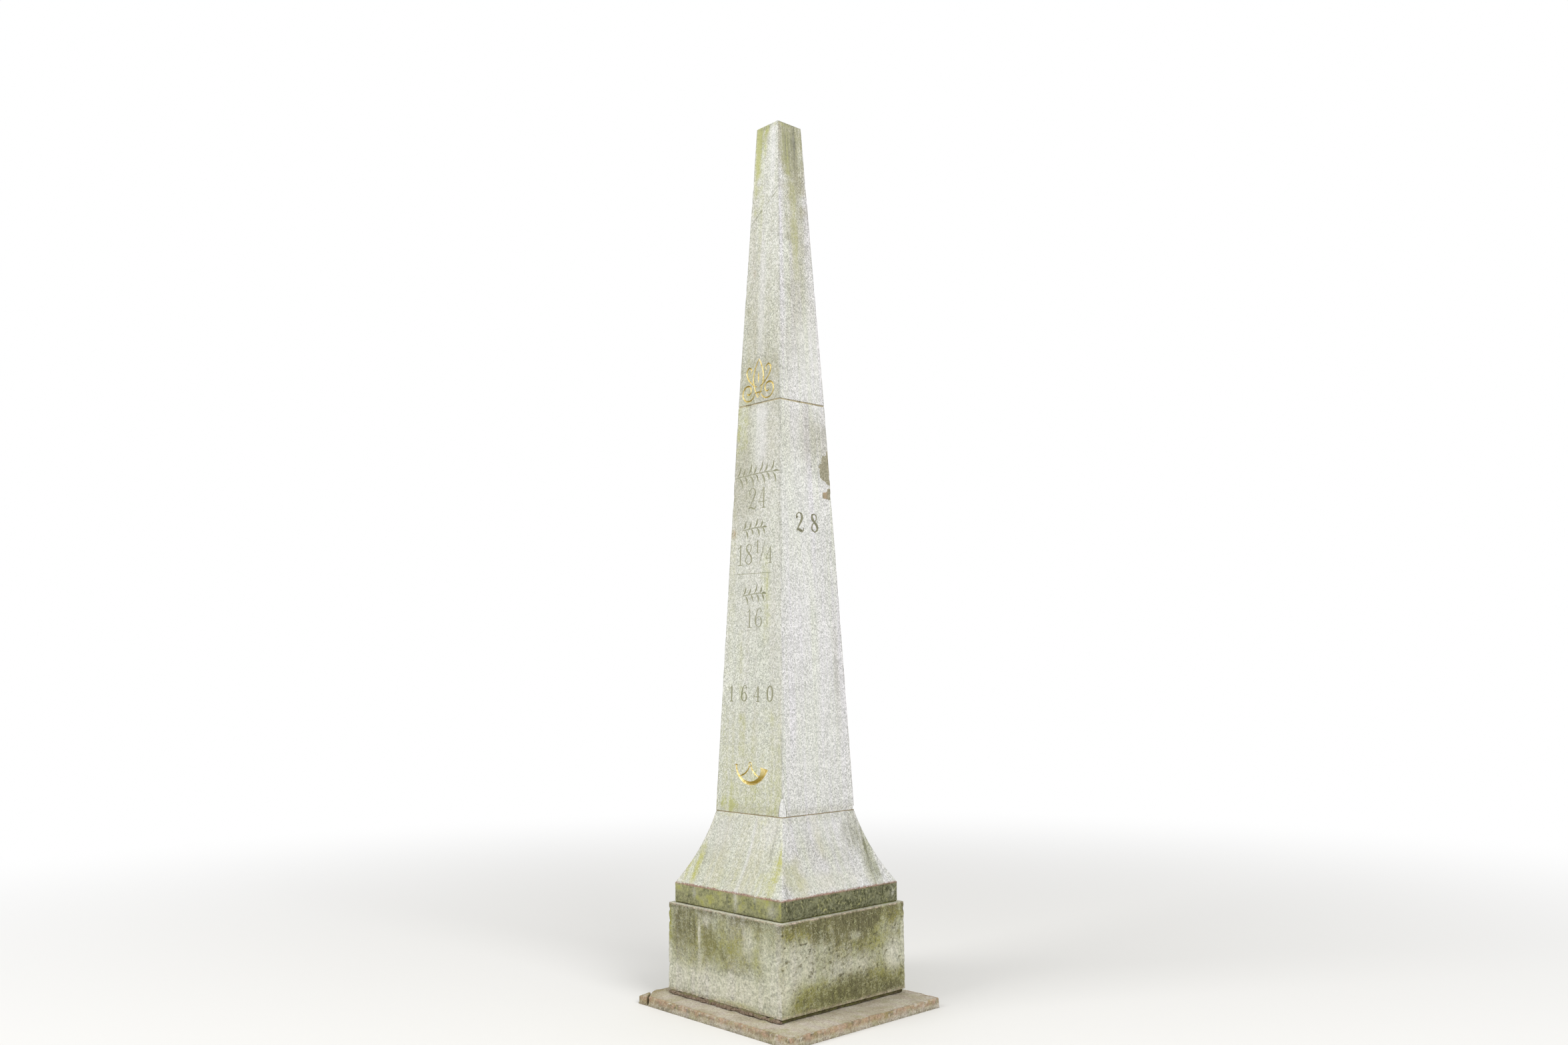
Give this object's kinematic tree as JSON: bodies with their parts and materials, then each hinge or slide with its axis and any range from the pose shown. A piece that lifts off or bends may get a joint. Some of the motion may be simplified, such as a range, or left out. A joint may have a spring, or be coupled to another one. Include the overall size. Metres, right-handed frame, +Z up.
{
  "type": "granite distance obelisk",
  "caption": "Square granite obelisk of stacked, mortared stones: a two-stone tapered shaft with a low pointed top, on a hollow-flared base, a square plinth and a broad footing slab.",
  "frame": {"origin": "under the axis of the shaft, on the flat underside of the footing slab", "axes": "+Z up along the shaft; -Y towards the inscribed side; +X towards the numbered side"},
  "size_m": [1.125, 1.015, 4.638],
  "materials": {
    "footing_granite": "rough split granite, brown with soil and damp, pink where it is broken",
    "plinth_granite": "pointed granite, grey-brown with dirt and algae, paler towards the foot",
    "base_granite": "dressed granite with olive runs, dark on the band",
    "shaft_granite": "finely dressed pale granite with dark grains and faint algae",
    "bed_mortar": "old lime mortar, dark ochre",
    "patch_mortar": "smooth repair mortar, olive brown"
  },
  "bodies": {
    "root": {"footing_slab": "footing_granite", "footing_corner": "footing_granite", "plinth_bed": "bed_mortar", "plinth_haunch": "bed_mortar", "plinth_block": "plinth_granite", "base_bed": "bed_mortar", "flared_base": "base_granite", "lower_shaft_bed": "bed_mortar", "lower_shaft": "shaft_granite", "arris_plug": "shaft_granite", "edge_patch_upper": "patch_mortar", "edge_patch_lower": "patch_mortar", "upper_shaft_bed": "bed_mortar", "upper_shaft": "shaft_granite"}
  },
  "joints": []
}
